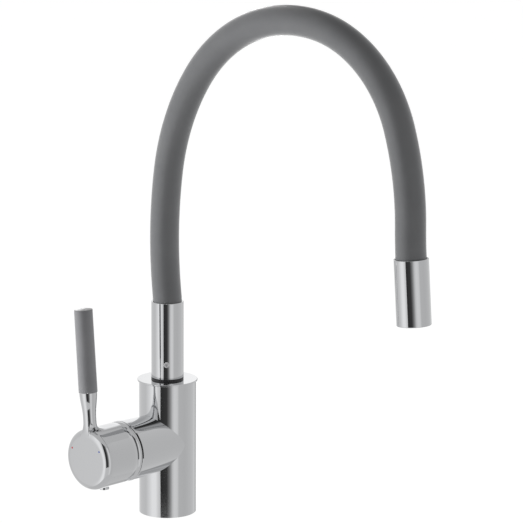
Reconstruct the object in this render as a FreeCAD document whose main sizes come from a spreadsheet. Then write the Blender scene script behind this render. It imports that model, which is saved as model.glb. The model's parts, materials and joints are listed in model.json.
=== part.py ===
"""Single-lever kitchen mixer tap with a bendable hose spout, as a parametric assembly.

Millimetres. The origin is the centre of the base on the worktop, +Z is up, the spout reaches
towards +X and the valve with its lever points towards -Y.
"""
import FreeCAD, Part
import math
import operator
import os
from types import SimpleNamespace

import Sketcher

X_AXIS = FreeCAD.Vector(1, 0, 0)
Y_AXIS = FreeCAD.Vector(0, 1, 0)
Z_AXIS = FreeCAD.Vector(0, 0, 1)

# Driving dimensions
SIZES = dict(
    # cast body
    body_radius=24.0,
    body_height=113.5,
    gasket_margin=1.8,
    gasket_width=2.6,
    gasket_height=2.5,
    inlet_thread_radius=4.5,
    inlet_thread_length=12.0,
    inlet_spread=7.0,
    inlet_forward=8.0,
    stud_thread_radius=3.4,
    stud_thread_length=14.0,
    stud_back=9.0,
    riser_radius=2.9,
    passage_radius=3.2,
    waterway_radius=6.0,
    # top ring, spigot and its seals
    top_ring_overhang=1.3,
    top_ring_thickness=1.5,
    top_ring_round=0.35,
    spigot_thread_radius=10.95,
    spigot_thread_length=15.5,
    spigot_flange_thickness=1.2,
    spigot_bore_radius=5.6,
    seal_section=1.7,
    seal_groove_width=2.6,
    seal_above_screw=10.6,
    seal_pitch=7.0,
    seal_margin=5.0,
    slide_ring_thickness=1.3,
    # swivel tube
    tube_wall=1.35,
    tube_lift=0.2,
    tube_rim_round=0.35,
    socket_wall=1.4,
    socket_over=5.5,
    set_screw_radius=2.45,
    set_screw_height=14.4,
    set_screw_angle=48.0,
    set_screw_sunk=0.2,
    key_radius=1.3,
    key_depth=1.6,
    # hose and its fittings
    hose_radius=12.1,
    hose_wall=2.5,
    core_wall=1.9,
    inner_hose_wall=2.1,
    hose_in_tube=9.0,
    hose_in_nozzle=9.0,
    rim_bend_radius=45.0,
    rim_bend_angle=7.06,
    rise_bend_radius=378.4,
    rise_bend_angle=16.02,
    shoulder_bend_radius=186.3,
    shoulder_bend_angle=27.65,
    crown_bend_radius=135.8,
    crown_bend_angle=63.0,
    reach_bend_radius=108.4,
    reach_bend_angle=61.53,
    leg_bend_radius=238.0,
    leg_bend_angle=18.33,
    entry_bend_radius=363.1,
    entry_bend_angle=3.86,
    lower_fitting_length=15.0,
    nipple_wall=1.6,
    # nozzle
    nozzle_wall=1.25,
    nozzle_length=52.0,
    nozzle_mouth_round=0.35,
    nozzle_end_round=0.6,
    outlet_step=0.5,
    outlet_thread_length=19.0,
    washer_thickness=2.0,
    washer_width=4.0,
    cage_wall=2.3,
    cage_sunk=1.5,
    cage_lip=1.2,
    insert_sunk=4.0,
    insert_hole_radius=1.9,
    insert_ring_radius=6.0,
    screen_thickness=1.2,
    screen_hole_radius=0.75,
    screen_pitch=2.5,
    # valve housing
    valve_height=61.95,
    housing_wall=6.5,
    housing_root_step=0.3,
    housing_chamfer=0.6,
    seat_depth=14.0,
    port_spread=7.0,
    port_drop=6.0,
    outlet_port_rise=7.0,
    outlet_port_radius=4.0,
    # cartridge
    cartridge_radius=17.3,
    cartridge_wall=1.1,
    base_thickness=3.0,
    seal_proud=0.4,
    seal_height=1.0,
    seal_width=1.3,
    disc_thickness=3.2,
    disc_film=0.02,
    moving_disc_radius=12.0,
    moving_disc_thickness=3.0,
    chamber_rise=2.5,
    chamber_depth=1.8,
    carrier_thickness=5.4,
    carrier_floor=1.0,
    pocket_mouth=1.3,
    guide_radius=12.0,
    guide_flange_thickness=2.2,
    guide_end_step=0.6,
    pin_radius=2.0,
    pin_end_step=1.0,
    shell_length=22.6,
    neck_wall=2.1,
    shell_neck_length=6.0,
    stem_size=8.0,
    stem_engagement=13.0,
    stem_arm=6.5,
    stem_arm_radius=1.3,
    stem_ball_radius=2.0,
    lift_angle=22.0,
    nut_step=1.65,
    nut_length=10.0,
    nut_slot_width=5.0,
    nut_slot_depth=2.5,
    nut_to_skirt=0.7,
    dome_inset=1.4,
    dome_wall=1.2,
    dome_hole_radius=17.0,
    dome_skirt_length=2.6,
    # handle
    handle_gap=1.1,
    cap_length=39.6,
    cap_wall=2.5,
    cap_front_fillet=6.0,
    cap_lip_chamfer=0.45,
    cap_lip_length=1.8,
    cap_front_thickness=9.3,
    boss_radius=9.5,
    boss_length=16.5,
    lever_setback=6.6,
    lever_rest_turn=4.3,
    lever_root_sunk=5.0,
    lever_root_flare=7.6,
    waist_radius=5.45,
    waist_rise=10.35,
    lever_neck_length=30.65,
    neck_end_step=0.45,
    grip_length=68.9,
    grip_top_radius=7.65,
    grip_bottom_radius=7.8,
    grip_end_wall=4.0,
    grip_end_round=0.5,
    rod_radius=5.0,
    mark_radius=0.8,
    mark_depth=0.3,
    mark_proud=0.05,
    mark_inset=1.1,
    mark_angle=60.5,
    grub_from_stem_end=5.7,
    grub_radius=2.45,
    grub_length=6.4,
    plug_radius=4.0,
    plug_proud=2.2,
    plug_length=4.4,
    # clearances
    thread_clearance=0.05,
    running_clearance=0.06,
    hose_clearance=0.1,
    hose_slip=0.4,
    seat_clearance=0.15,
    loose_clearance=0.3,
    screw_clearance=0.6,
)

SCREEN_RINGS = 3
PORT_SIDES = (-1, 1)

# How steeply the lever's root flares, and how much of the flare widens it sideways
ROOT_FLARE_POWER = 1.6
ROOT_FLARE_SPREAD = 0.91

doc = FreeCAD.newDocument("MixerTap")
sheet = doc.addObject("Spreadsheet::Sheet", "Sizes")
nodes = []


class Size(float):
    """A number that carries the sheet formula it was worked out with."""

    def __new__(cls, number, formula):
        size = super().__new__(cls, number)
        size.formula = formula
        return size

    def __add__(self, other):
        return worked_out(operator.add, "+", self, other)

    def __radd__(self, other):
        return worked_out(operator.add, "+", other, self)

    def __sub__(self, other):
        return worked_out(operator.sub, "-", self, other)

    def __rsub__(self, other):
        return worked_out(operator.sub, "-", other, self)

    def __mul__(self, other):
        return worked_out(operator.mul, "*", self, other)

    def __rmul__(self, other):
        return worked_out(operator.mul, "*", other, self)

    def __truediv__(self, other):
        return worked_out(operator.truediv, "/", self, other)

    def __neg__(self):
        return 0 - self


def hypotenuse(across, along):
    return Size(math.hypot(across, along), f"sqrt({formula(across)} ^ 2 + {formula(along)} ^ 2)")


def other_leg(longest, along):
    number = math.sqrt(float(longest) ** 2 - float(along) ** 2)
    return Size(number, f"sqrt({formula(longest)} ^ 2 - {formula(along)} ^ 2)")


def tangent(degrees):
    return Size(math.tan(math.radians(degrees)), f"tan({formula(degrees)} * 1 deg)")


def formula(size):
    """The text that an expression uses for a size or a plain number."""
    if isinstance(size, Size):
        return size.formula
    return repr(float(size))


def worked_out(operation, sign, left, right):
    number = operation(float(left), float(right))
    return Size(number, f"({formula(left)} {sign} {formula(right)})")


def fill_sheet():
    """Write the driving dimensions and return them as sizes with their aliases."""
    for row, (alias, number) in enumerate(SIZES.items(), start=1):
        sheet.set(f"A{row}", alias)
        sheet.set(f"B{row}", str(number))
        sheet.setAlias(f"B{row}", alias)
    doc.recompute()
    return SimpleNamespace(**{alias: Size(sheet.get(alias), f"Sizes.{alias}") for alias in SIZES})


dim = fill_sheet()
FLOOR = Size(0, "0")


# Building blocks

def bind(item, **sizes):
    """Bind properties to formulas; a double underscore in a name stands for a dot."""
    for path, size in sizes.items():
        item.setExpression(path.replace("__", "."), formula(size))


def cylinder(name, radius, start, end, x=0, y=0, direction=Z_AXIS):
    """A cylinder along Z between two heights, or from (x, y, start) the same length along direction."""
    item = doc.addObject("Part::Cylinder", name)
    item.Placement.Rotation = FreeCAD.Rotation(Z_AXIS, direction)
    bind(item, Radius=radius, Height=end - start)
    bind(item, Placement__Base__x=x, Placement__Base__y=y, Placement__Base__z=start)
    return item


def box(name, width, depth, start, end, x=0, y=0):
    """A box centred on (x, y), between two heights."""
    item = doc.addObject("Part::Box", name)
    bind(item, Length=width, Width=depth, Height=end - start)
    bind(item, Placement__Base__x=x - width / 2, Placement__Base__y=y - depth / 2)
    bind(item, Placement__Base__z=start)
    return item


def fused(name, *items):
    result = doc.addObject("Part::MultiFuse", name)
    result.Shapes = list(items)
    return result


def grouped(name, *items):
    """Separate solids under one name, which can be laid in place together."""
    result = doc.addObject("Part::Compound", name)
    result.Links = list(items)
    return result


def cut(name, base, *tools):
    result = doc.addObject("Part::Cut", name)
    result.Base = base
    result.Tool = tools[0] if len(tools) == 1 else fused(name + "_tools", *tools)
    return result


def ring(name, outer, inner, start, end, x=0, y=0):
    """A plain ring between two heights."""
    hole = cylinder(name + "_hole", inner, start - 1, end + 1, x, y)
    return cut(name, cylinder(name + "_disc", outer, start, end, x, y), hole)


def pin_corner(sketch, kind, axis, corner, size):
    """Fix one coordinate of a sketch corner, on the axis where it is zero."""
    if float(size) == 0:
        sketch.addConstraint(Sketcher.Constraint("PointOnObject", corner, 1, axis))
        return
    index = sketch.addConstraint(Sketcher.Constraint(kind, -1, 1, corner, 1, float(size)))
    sketch.setExpression(f"Constraints[{index}]", formula(size))


def turned(name, *corners):
    """A body turned about its own Z axis from corners given as (radius, height)."""
    body = doc.addObject("PartDesign::Body", name)
    sketch = body.newObject("Sketcher::SketchObject", name + "_profile")
    plane = next(item for item in body.Origin.OriginFeatures if item.Role == "XZ_Plane")
    sketch.AttachmentSupport = [(plane, "")]
    sketch.MapMode = "FlatFace"
    points = [FreeCAD.Vector(float(radius), float(height), 0) for radius, height in corners]
    for start, end in zip(points, points[1:] + points[:1]):
        sketch.addGeometry(Part.LineSegment(start, end), False)
    for corner in range(len(points)):
        sketch.addConstraint(Sketcher.Constraint("Coincident", corner, 2, (corner + 1) % len(points), 1))
    for corner, (radius, height) in enumerate(corners):
        pin_corner(sketch, "DistanceX", -2, corner, radius)
        pin_corner(sketch, "DistanceY", -1, corner, height)
    revolution = body.newObject("PartDesign::Revolution", name + "_turning")
    revolution.Profile = sketch
    revolution.ReferenceAxis = (sketch, ["V_Axis"])
    revolution.Angle = 360
    return body


def round_rim(body, feature_radius, height, radius):
    """Round the circular edge of a turned body that has this radius and height."""
    doc.recompute()
    base = body.Tip
    for index, edge in enumerate(base.Shape.Edges, start=1):
        circle = edge.Curve
        if not isinstance(circle, Part.Circle):
            continue
        if abs(circle.Radius - feature_radius) < 0.001 and abs(circle.Center.z - height) < 0.001:
            fillet = body.newObject("PartDesign::Fillet", body.Name + "_rim")
            fillet.Base = (base, [f"Edge{index}"])
            bind(fillet, Radius=radius)
            body.Tip = fillet
            return


def node(name, item):
    """Name a finished piece."""
    item.Label = name
    nodes.append(item)
    return item


def feature(name, shape):
    item = doc.addObject("Part::Feature", name)
    item.Shape = shape
    return item


def on_valve(item):
    """Lay a piece built along Z onto the valve's axis, with its own Y up."""
    item.Placement = FreeCAD.Placement(FreeCAD.Vector(0, 0, dim.valve_height), FreeCAD.Rotation(X_AXIS, 90))
    bind(item, Placement__Base__z=dim.valve_height)
    return item


def on_handle(item):
    """Lay a piece onto the valve's axis as the handle rests, turned a little to the hot side."""
    on_valve(item)
    item.Placement.Rotation = item.Placement.Rotation * FreeCAD.Rotation(Z_AXIS, float(dim.lever_rest_turn))
    return item


# Heights and depths that several pieces share

gasket_outer = dim.body_radius - dim.gasket_margin
gasket_inner = gasket_outer - dim.gasket_width
tube_bore = dim.hose_radius + dim.hose_clearance
tube_radius = tube_bore + dim.tube_wall
socket_radius = tube_bore - dim.thread_clearance
socket_bore = socket_radius - dim.socket_wall
spigot_radius = socket_bore - dim.running_clearance
groove_floor = spigot_radius - dim.seal_section
ring_top = dim.body_height + dim.top_ring_thickness
flange_top = ring_top + dim.spigot_flange_thickness
set_screw_z = ring_top + dim.set_screw_height
first_seal_z = set_screw_z + dim.seal_above_screw
spigot_top = first_seal_z + dim.seal_pitch + dim.seal_margin
socket_top = spigot_top + dim.socket_over
tube_foot = ring_top + dim.slide_ring_thickness + dim.tube_lift
hose_seat = socket_top + dim.lower_fitting_length
tube_top = hose_seat + dim.hose_in_tube
hose_bore = dim.hose_radius - dim.hose_wall
core_radius = hose_bore - dim.thread_clearance
core_bore = core_radius - dim.core_wall
inner_hose_radius = core_bore - dim.thread_clearance
inner_hose_bore = inner_hose_radius - dim.inner_hose_wall
nozzle_bore = dim.hose_radius + dim.hose_slip
nozzle_radius = nozzle_bore + dim.nozzle_wall
outlet_thread_radius = nozzle_bore - dim.outlet_step
thread_start = dim.nozzle_length - dim.outlet_thread_length

base_start = dim.seat_depth + dim.seal_proud
base_end = base_start + dim.base_thickness
fixed_end = base_end + dim.disc_thickness
moving_start = fixed_end + dim.disc_film
moving_end = moving_start + dim.moving_disc_thickness
carrier_end = moving_end + dim.carrier_thickness
ball_depth = moving_end + dim.carrier_floor + dim.seat_clearance + dim.stem_ball_radius
pivot_depth = ball_depth + dim.stem_arm
guide_start = carrier_end + dim.loose_clearance
guide_flange_end = guide_start + dim.guide_flange_thickness
shoulder_depth = base_end + dim.shell_length
shell_end = shoulder_depth + dim.shell_neck_length
guide_end = shell_end - dim.guide_end_step
shell_bore = dim.cartridge_radius - dim.cartridge_wall
guide_bore = dim.guide_radius + dim.running_clearance
shell_neck_radius = guide_bore + dim.neck_wall
pin_length = 2 * (dim.guide_radius - dim.pin_end_step)
nut_radius = dim.cartridge_radius + dim.nut_step
nut_end = shoulder_depth + dim.nut_length
skirt_start = nut_end + dim.nut_to_skirt
housing_length = skirt_start + dim.dome_skirt_length
valve_radius = nut_radius + dim.thread_clearance + dim.housing_wall
dome_skirt_radius = valve_radius - dim.dome_inset
dome_radius = hypotenuse(housing_length - pivot_depth, dome_skirt_radius)

cap_start = housing_length + dim.handle_gap
cap_end = cap_start + dim.cap_length
cap_bore = valve_radius - dim.cap_wall
front_inside = cap_end - dim.cap_front_thickness
boss_start = front_inside - dim.boss_length
stem_end = boss_start + dim.stem_engagement
grub_depth = stem_end - dim.grub_from_stem_end
housing_edge = hypotenuse(housing_length - dim.housing_chamfer - pivot_depth, valve_radius)
cap_lip_radius = other_leg(housing_edge + dim.loose_clearance, cap_start - pivot_depth)
lever_depth = cap_end - dim.lever_setback
grip_start = valve_radius + dim.lever_neck_length
mark_circle = valve_radius - dim.cap_front_fillet - dim.mark_inset


# Body, gasket and top ring

def make_housing():
    """The valve's housing, whose root is a little narrower than the barrel that it grows out of."""
    return on_valve(turned(
        "housing",
        (0, 0),
        (dim.body_radius - dim.housing_root_step, 0),
        (valve_radius, housing_length - dim.housing_chamfer),
        (valve_radius - dim.housing_chamfer, housing_length),
        (0, housing_length),
    ))


def make_cartridge_bore():
    """The stepped bore for the cartridge, its nut and the dome ring."""
    bore = dim.cartridge_radius + dim.seat_clearance
    nut_bore = nut_radius + dim.thread_clearance
    skirt_bore = dome_skirt_radius + dim.thread_clearance
    nut_start = shoulder_depth - dim.nut_to_skirt
    return on_valve(turned(
        "cartridge_bore",
        (0, dim.seat_depth),
        (bore, dim.seat_depth),
        (bore, nut_start),
        (nut_bore, nut_start),
        (nut_bore, skirt_start),
        (skirt_bore, skirt_start),
        (skirt_bore, housing_length + 1),
        (0, housing_length + 1),
    ))


def make_inlets():
    """Both inlets: a threaded hole from below, a riser and a port into the cartridge seat."""
    tools = []
    forward = -dim.inlet_forward
    port_z = dim.valve_height - dim.port_drop
    for side in PORT_SIDES:
        x = side * dim.inlet_spread
        thread_end = dim.inlet_thread_length
        tools.append(cylinder(f"inlet_thread_{side + 2}", dim.inlet_thread_radius, -1, thread_end, x, forward))
        tools.append(cylinder(f"riser_{side + 2}", dim.riser_radius, thread_end - 1, port_z, x, forward))
        port_end = port_z + dim.seat_depth - dim.inlet_forward + 1
        tools.append(cylinder(f"port_{side + 2}", dim.passage_radius, port_z, port_end, x, forward, -Y_AXIS))
    return tools


def make_outlet_way():
    """The mixed water's way from the cartridge seat up to the spigot's thread."""
    port_z = dim.valve_height + dim.outlet_port_rise
    port = cylinder(
        "outlet_port", dim.outlet_port_radius, port_z, port_z + dim.seat_depth + 1, direction=-Y_AXIS
    )
    thread_start_z = dim.body_height - dim.spigot_thread_length
    way = cylinder("waterway", dim.waterway_radius, port_z, thread_start_z + 1)
    thread = cylinder(
        "spigot_thread", dim.spigot_thread_radius + dim.thread_clearance, thread_start_z, dim.body_height + 1
    )
    return [port, way, thread]


def make_body():
    """The barrel, and the valve's housing that is brazed to its side."""
    barrel = cylinder("barrel", dim.body_radius, FLOOR, dim.body_height)
    bore = make_cartridge_bore()
    groove = ring("gasket_groove", gasket_outer, gasket_inner, FLOOR, dim.gasket_height)
    stud = cylinder("stud_hole", dim.stud_thread_radius, -1, dim.stud_thread_length, 0, dim.stud_back)
    tools = [groove, stud, bore] + make_inlets() + make_outlet_way()
    node("tap_body", cut("tap_body_solid", barrel, *tools))
    saddle = cylinder("saddle", dim.body_radius + dim.thread_clearance, FLOOR, dim.body_height)
    node("valve_housing", cut("valve_housing_solid", make_housing(), saddle, bore))


def make_gasket():
    outer = gasket_outer - dim.thread_clearance
    inner = gasket_inner + dim.thread_clearance
    node("base_gasket", ring("gasket", outer, inner, FLOOR, dim.gasket_height))


def make_top_ring():
    """The top ring, with both outer edges rounded."""
    hole = dim.spigot_thread_radius + dim.seat_clearance
    outer = dim.body_radius + dim.top_ring_overhang
    disc = turned(
        "top_ring_solid",
        (hole, dim.body_height),
        (outer, dim.body_height),
        (outer, ring_top),
        (hole, ring_top),
    )
    for height in (dim.body_height, ring_top):
        round_rim(disc, outer, height, dim.top_ring_round)
    node("top_ring", disc)


# Spigot, its seals and the slide ring

def seal_heights():
    return [first_seal_z, first_seal_z + dim.seal_pitch]


def make_spigot():
    thread_foot = dim.body_height - dim.spigot_thread_length
    blank = turned(
        "spigot_blank",
        (dim.spigot_bore_radius, thread_foot),
        (dim.spigot_thread_radius, thread_foot),
        (dim.spigot_thread_radius, ring_top),
        (tube_bore, ring_top),
        (tube_bore, flange_top),
        (spigot_radius, flange_top),
        (spigot_radius, spigot_top),
        (dim.spigot_bore_radius, spigot_top),
    )
    half = dim.seal_groove_width / 2
    grooves = [
        ring(f"seal_groove_{count}", spigot_radius + 1, groove_floor, height - half, height + half)
        for count, height in enumerate(seal_heights(), start=1)
    ]
    half = dim.set_screw_radius + dim.screw_clearance
    grooves.append(ring("screw_groove", spigot_radius + 1, groove_floor, set_screw_z - half, set_screw_z + half))
    node("spout_spigot", cut("spigot", blank, *grooves))


def make_spigot_seals():
    rings = []
    section_radius = dim.seal_section / 2 - dim.disc_film
    for count, height in enumerate(seal_heights(), start=1):
        torus = doc.addObject("Part::Torus", f"seal_ring_{count}")
        bind(torus, Radius1=spigot_radius - section_radius, Radius2=section_radius)
        bind(torus, Placement__Base__z=height)
        rings.append(torus)
    node("spigot_seals", grouped("seal_rings", *rings))


def make_slide_ring():
    inner = tube_bore + dim.seat_clearance
    ring_end = ring_top + dim.slide_ring_thickness
    node("slide_ring", ring("slide_ring_solid", tube_radius, inner, ring_top, ring_end))


# Swivel tube

def set_screw_frame():
    """The set screw's own frame: Z points out of the tube."""
    angle = math.radians(dim.set_screw_angle)
    outward = FreeCAD.Vector(math.cos(angle), -math.sin(angle), 0)
    return FreeCAD.Placement(FreeCAD.Vector(0, 0, set_screw_z), FreeCAD.Rotation(Z_AXIS, outward))


def screw_hole(name):
    hole = doc.addObject("Part::Cylinder", name)
    bind(hole, Radius=dim.set_screw_radius + dim.thread_clearance, Height=tube_radius + 2)
    hole.Placement = set_screw_frame()
    bind(hole, Placement__Base__z=set_screw_z)
    return hole


def make_swivel_tube():
    """The tube, with both outer edges rounded."""
    tube = turned(
        "tube_blank",
        (tube_bore, tube_foot),
        (tube_radius, tube_foot),
        (tube_radius, tube_top),
        (tube_bore, tube_top),
    )
    for height in (tube_foot, tube_top):
        round_rim(tube, tube_radius, height, dim.tube_rim_round)
    node("swivel_tube", cut("tube", tube, screw_hole("tube_screw_hole")))


def make_socket():
    socket = ring("socket_blank", socket_radius, socket_bore, tube_foot + dim.loose_clearance, socket_top)
    node("swivel_socket", cut("socket", socket, screw_hole("socket_screw_hole")))


def make_set_screw():
    tip = groove_floor + dim.screw_clearance
    head = tube_radius - dim.set_screw_sunk
    shank = cylinder("set_screw_shank", dim.set_screw_radius, tip, head)
    key = hex_socket("set_screw_key", dim.key_radius, head - dim.key_depth, head + 1)
    screw = cut("set_screw", shank, key)
    screw.Placement = set_screw_frame()
    bind(screw, Placement__Base__z=set_screw_z)
    node("tube_set_screw", screw)


def hex_socket(name, radius, start, end):
    prism = doc.addObject("Part::Prism", name)
    prism.Polygon = 6
    bind(prism, Circumradius=radius, Height=end - start, Placement__Base__z=start)
    return prism


# Hose and its fittings

def hose_route():
    """The hose's centre line: straight in the tube, seven tangent arcs, straight in the nozzle."""
    bends = (
        (dim.rim_bend_radius, -dim.rim_bend_angle),
        (dim.rise_bend_radius, dim.rise_bend_angle),
        (dim.shoulder_bend_radius, dim.shoulder_bend_angle),
        (dim.crown_bend_radius, dim.crown_bend_angle),
        (dim.reach_bend_radius, dim.reach_bend_angle),
        (dim.leg_bend_radius, dim.leg_bend_angle),
        (dim.entry_bend_radius, -dim.entry_bend_angle),
    )
    point = FreeCAD.Vector(0, 0, tube_top)
    heading = 0.0
    start = point - Z_AXIS * float(dim.hose_in_tube)
    edges = [Part.LineSegment(start, point).toShape()]
    for radius, turn in bends:
        middle = travelled(point, heading, float(radius), math.radians(turn) / 2)
        end = travelled(point, heading, float(radius), math.radians(turn))
        edges.append(Part.Arc(point, middle, end).toShape())
        heading += math.radians(turn)
        point = end
    forward = FreeCAD.Vector(math.sin(heading), 0, math.cos(heading))
    edges.append(Part.LineSegment(point, point + forward * float(dim.hose_in_nozzle)).toShape())
    frame = FreeCAD.Placement(point, FreeCAD.Rotation(Y_AXIS, math.degrees(heading)))
    return Part.Wire(edges), frame


def travelled(point, heading, radius, turn):
    """The point reached from a heading after a turn, on an arc of this radius."""
    chord = 2 * radius * math.sin(abs(turn) / 2)
    course = heading + turn / 2
    return point + FreeCAD.Vector(math.sin(course), 0, math.cos(course)) * chord


def swept_tube(name, outer, inner):
    """A tube of the hose along its route."""
    spine = route.Edges[0].valueAt(route.Edges[0].FirstParameter)
    solids = []
    for radius in (outer, inner):
        circle = Part.Wire([Part.Circle(spine, Z_AXIS, float(radius)).toShape()])
        solids.append(route.makePipeShell([circle], True, False))
    wall = solids[0].cut(solids[1])
    expected = math.pi * (float(outer) ** 2 - float(inner) ** 2) * route.Length
    print(f"{name}: length {route.Length:.1f}, volume {wall.Volume:.0f}, section times length {expected:.0f}")
    return feature(name, wall)


def make_hoses():
    node("silicone_hose", swept_tube("outer_hose", dim.hose_radius, hose_bore))
    node("gooseneck_core", swept_tube("core", core_radius, core_bore))
    node("inner_hose", swept_tube("water_hose", inner_hose_radius, inner_hose_bore))


def make_lower_fitting():
    nipple_radius = inner_hose_bore - dim.thread_clearance
    nipple_bore = nipple_radius - dim.nipple_wall
    node("hose_lower_fitting", turned(
        "lower_fitting",
        (nipple_bore, socket_top),
        (socket_radius, socket_top),
        (socket_radius, hose_seat),
        (nipple_radius, hose_seat),
        (nipple_radius, tube_top),
        (nipple_bore, tube_top),
    ))


# Nozzle, built along its own flow axis from the mouth that takes the hose

def on_nozzle(item):
    item.Placement = nozzle_frame
    return item


def make_upper_fitting():
    nipple_radius = inner_hose_bore - dim.loose_clearance
    nipple_bore = nipple_radius - dim.nipple_wall
    seat = dim.hose_in_nozzle + dim.loose_clearance
    body = turned(
        "upper_fitting",
        (nipple_bore, 0),
        (nipple_radius, 0),
        (nipple_radius, seat),
        (nozzle_bore - dim.thread_clearance, seat),
        (nozzle_bore - dim.thread_clearance, thread_start),
        (nipple_bore, thread_start),
    )
    node("hose_upper_fitting", on_nozzle(body))


def make_nozzle_shell():
    body = turned(
        "nozzle",
        (nozzle_bore, 0),
        (nozzle_radius, 0),
        (nozzle_radius, dim.nozzle_length),
        (outlet_thread_radius, dim.nozzle_length),
        (outlet_thread_radius, thread_start),
        (nozzle_bore, thread_start),
    )
    round_rim(body, nozzle_radius, 0, dim.nozzle_mouth_round)
    round_rim(body, nozzle_radius, dim.nozzle_length, dim.nozzle_end_round)
    node("nozzle_shell", on_nozzle(body))


def make_aerator():
    cage_radius = outlet_thread_radius - dim.thread_clearance
    cage_bore = cage_radius - dim.cage_wall
    cage_start = thread_start + dim.washer_thickness
    cage_stop = dim.nozzle_length - dim.cage_sunk
    washer = ring("washer", cage_radius, cage_radius - dim.washer_width, thread_start, cage_start)
    node("aerator_washer", on_nozzle(washer))
    cage = turned(
        "cage",
        (cage_bore, cage_start),
        (cage_radius, cage_start),
        (cage_radius, cage_stop),
        (cage_bore - dim.cage_lip, cage_stop),
        (cage_bore - dim.cage_lip, cage_stop - dim.cage_lip),
        (cage_bore, cage_stop - dim.cage_lip),
    )
    node("aerator_cage", on_nozzle(cage))
    screen_start = cage_stop - dim.cage_lip - dim.screen_thickness
    make_aerator_insert(cage_bore - dim.thread_clearance, cage_start + dim.insert_sunk, screen_start)
    make_screen(cage_bore - dim.thread_clearance, screen_start)


def make_aerator_insert(radius, start, end):
    blank = cylinder("insert_blank", radius, start, end)
    holes = [cylinder("insert_hole_0", dim.insert_hole_radius, start - 1, end + 1)]
    for count in range(6):
        angle = math.radians(60 * count)
        x = dim.insert_ring_radius * math.cos(angle)
        y = dim.insert_ring_radius * math.sin(angle)
        holes.append(cylinder(f"insert_hole_{count + 1}", dim.insert_hole_radius, start - 1, end + 1, x, y))
    node("aerator_insert", on_nozzle(cut("insert", blank, *holes)))


def make_screen(radius, start):
    """The outlet screen, with its holes on rings of six, twelve and eighteen round one in the middle."""
    end = start + dim.screen_thickness
    disc = cylinder("screen_blank", radius, start, end)
    holes = [cylinder("screen_hole_0", dim.screen_hole_radius, start - 1, end + 1)]
    for lap in range(1, SCREEN_RINGS + 1):
        for count in range(6 * lap):
            angle = 2 * math.pi * count / (6 * lap)
            x = dim.screen_pitch * lap * math.cos(angle)
            y = dim.screen_pitch * lap * math.sin(angle)
            name = f"screen_hole_{lap}_{count}"
            holes.append(cylinder(name, dim.screen_hole_radius, start - 1, end + 1, x, y))
    node("aerator_screen", on_nozzle(cut("screen", disc, *holes)))


# Cartridge, built along the valve's axis from the body's own axis

def port_places():
    """The two inlet ports and the outlet port, as (x, y, radius)."""
    ports = [(side * dim.port_spread, -dim.port_drop, dim.passage_radius) for side in PORT_SIDES]
    ports.append((0, dim.outlet_port_rise, dim.outlet_port_radius))
    return ports


def make_cartridge_base():
    plate = cylinder("base_plate", dim.cartridge_radius, base_start, base_end)
    seal_floor = dim.seat_depth + dim.seal_height
    tools = []
    for count, (x, y, radius) in enumerate(port_places(), start=1):
        tools.append(cylinder(f"base_port_{count}", radius, base_start - 1, base_end + 1, x, y))
        recess = radius + dim.seal_width + dim.thread_clearance
        tools.append(cylinder(f"seal_recess_{count}", recess, base_start - 1, seal_floor, x, y))
    node("cartridge_base", on_valve(cut("cartridge_base_plate", plate, *tools)))


def make_cartridge_seals():
    rings = [
        ring(f"port_seal_{count}", radius + dim.seal_width, radius, dim.seat_depth,
             dim.seat_depth + dim.seal_height, x, y)
        for count, (x, y, radius) in enumerate(port_places(), start=1)
    ]
    node("cartridge_seals", on_valve(grouped("port_seals", *rings)))


def make_discs():
    fixed = cylinder("fixed_blank", shell_bore - dim.seat_clearance, base_end, fixed_end)
    ports = [
        cylinder(f"disc_port_{count}", radius, base_end - 1, fixed_end + 1, x, y)
        for count, (x, y, radius) in enumerate(port_places(), start=1)
    ]
    node("fixed_disc", on_valve(cut("fixed", fixed, *ports)))
    moving = cylinder("moving_blank", dim.moving_disc_radius, moving_start, moving_end)
    chamber = cylinder(
        "chamber", dim.outlet_port_radius, moving_start - 1, moving_start + dim.chamber_depth, 0, dim.chamber_rise
    )
    node("moving_disc", on_handle(cut("moving", moving, chamber)))


def make_disc_carrier():
    """The carrier over the moving disc, with the pocket that the stem's ball drives."""
    blank = cylinder("carrier_blank", dim.moving_disc_radius, moving_end, carrier_end)
    width = 2 * (dim.stem_ball_radius + dim.seat_clearance)
    mouth_start = carrier_end - dim.pocket_mouth
    pocket = box("pocket", width, width, moving_end + dim.carrier_floor, carrier_end + 1)
    mouth = box("pocket_mouth", width, width + 2 * dim.pocket_mouth, mouth_start, carrier_end + 1)
    node("disc_carrier", on_handle(cut("carrier", blank, pocket, mouth)))


def make_cartridge_shell():
    ledge = guide_flange_end + dim.loose_clearance
    node("cartridge_shell", on_valve(turned(
        "shell",
        (shell_bore, base_end),
        (dim.cartridge_radius, base_end),
        (dim.cartridge_radius, shoulder_depth),
        (shell_neck_radius, shoulder_depth),
        (shell_neck_radius, shell_end),
        (guide_bore, shell_end),
        (guide_bore, ledge),
        (shell_bore, ledge),
    )))


def pin_cylinder(name, radius, length):
    """A cylinder across the valve's axis at the pivot."""
    item = doc.addObject("Part::Cylinder", name)
    item.Placement.Rotation = FreeCAD.Rotation(Z_AXIS, X_AXIS)
    bind(item, Radius=radius, Height=length, Placement__Base__x=-length / 2, Placement__Base__z=pivot_depth)
    return item


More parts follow.
